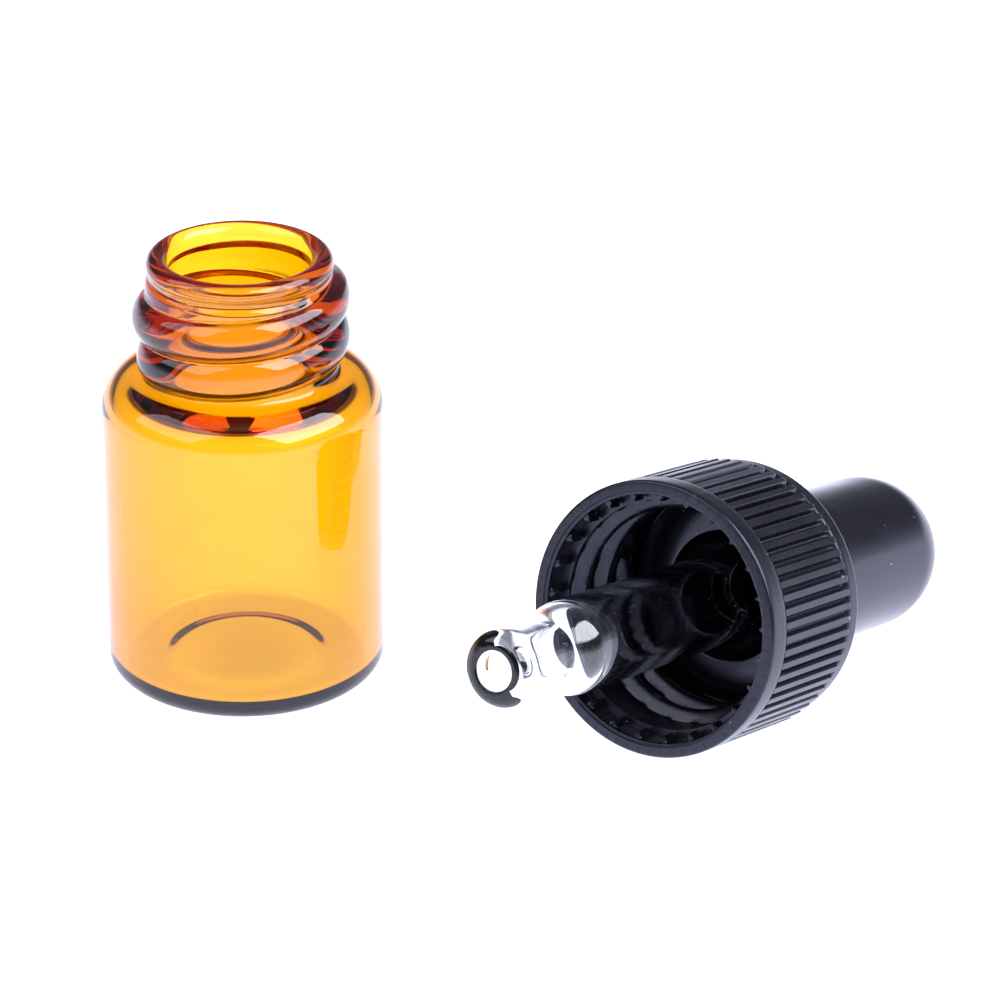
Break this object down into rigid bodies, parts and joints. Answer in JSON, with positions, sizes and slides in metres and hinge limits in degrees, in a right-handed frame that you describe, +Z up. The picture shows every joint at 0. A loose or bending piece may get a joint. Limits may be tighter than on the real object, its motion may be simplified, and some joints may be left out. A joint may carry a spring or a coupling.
{
  "type": "glass dropper bottle",
  "caption": "Small round glass bottle with a threaded neck, open, and its screw cap dropper lying beside it: ribbed collar, rubber bulb and glass pipette.",
  "frame": {"origin": "centre of the bottle's foot, on the surface it stands on", "axes": "+Z up along the bottle's axis; the dropper lies towards +X and a little towards -Y, its pipette pointing to -X and -Y"},
  "size_m": [0.0484, 0.0362, 0.0256],
  "materials": {
    "amber_glass": "clear amber glass, polished",
    "clear_glass": "clear glass, fire polished at the tip",
    "black_plastic": "moulded black plastic, fine satin grain",
    "black_rubber": "smooth satin black rubber with fine dust"
  },
  "bodies": {
    "bottle": {"bottle": "amber_glass"},
    "dropper": {"glass_pipette": "clear_glass"},
    "collar": {"cap_collar": "black_plastic"},
    "bulb": {"rubber_bulb": "black_rubber"}
  },
  "joints": [
    {"name": "dropper_lift", "type": "slide", "parent": "bottle", "child": "dropper", "axis": [0, 0, 1], "range_m": [0, 0.03]},
    {"name": "collar_turn", "type": "hinge", "parent": "dropper", "child": "collar", "pos_m": [0.02305, -0.01285, 0.00939], "axis": [-0.5603, -0.8002, 0.2141], "continuous": true},
    {"name": "bulb_squeeze", "type": "slide", "parent": "dropper", "child": "bulb", "axis": [-0.8192, 0.5736, 0], "range_m": [0, 0.0015], "stiffness_N_per_m": 800, "deforming": ["rubber_bulb"]}
  ]
}
